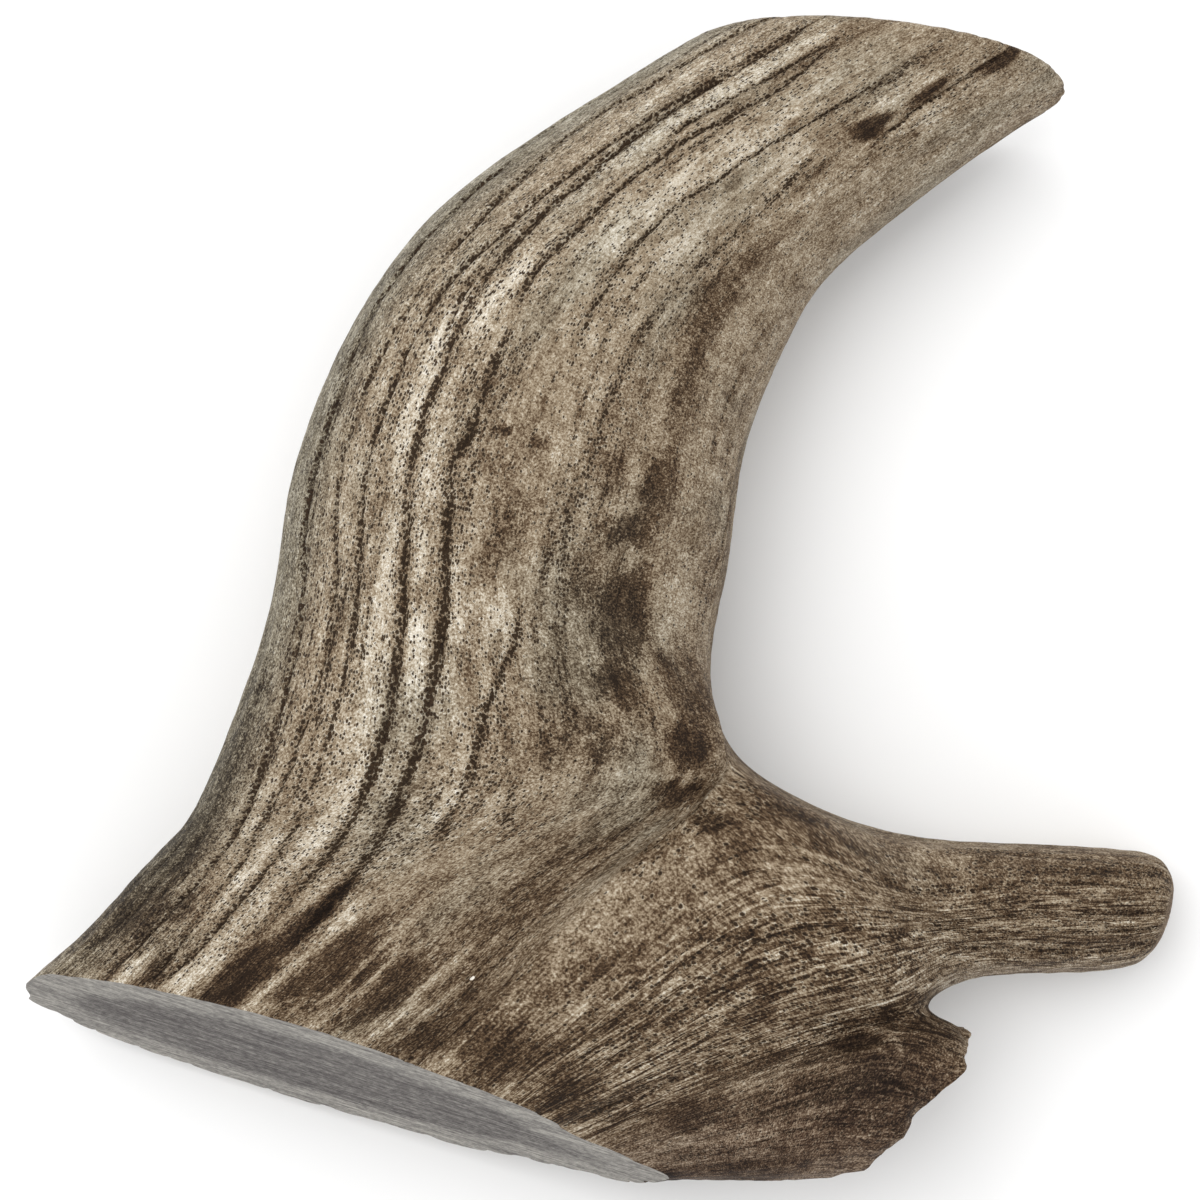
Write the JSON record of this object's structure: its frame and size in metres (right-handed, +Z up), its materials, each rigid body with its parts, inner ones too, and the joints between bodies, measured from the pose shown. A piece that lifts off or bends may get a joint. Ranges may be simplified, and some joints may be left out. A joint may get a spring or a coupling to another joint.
{
  "type": "elk antler",
  "caption": "Sawn piece of elk antler, a pet's chew: a curved main beam with furrowed bark, a brow tine and the stump of a cut tine, lying on its side.",
  "frame": {"origin": "on the surface that the antler lies on, under the middle of its bounding box", "axes": "+Z up from that surface, +X along the brow tine towards its tip, +Y from the sawn root towards the end of the main beam"},
  "size_m": [0.1538, 0.1522, 0.0447],
  "materials": {
    "antler_bark": "matt furrowed antler bone, grey tan on the ridges and dark brown in the furrows"
  },
  "bodies": {
    "root": {"main_beam": "antler_bark", "brow_tine": "antler_bark", "tine_stump": "antler_bark"}
  },
  "joints": []
}
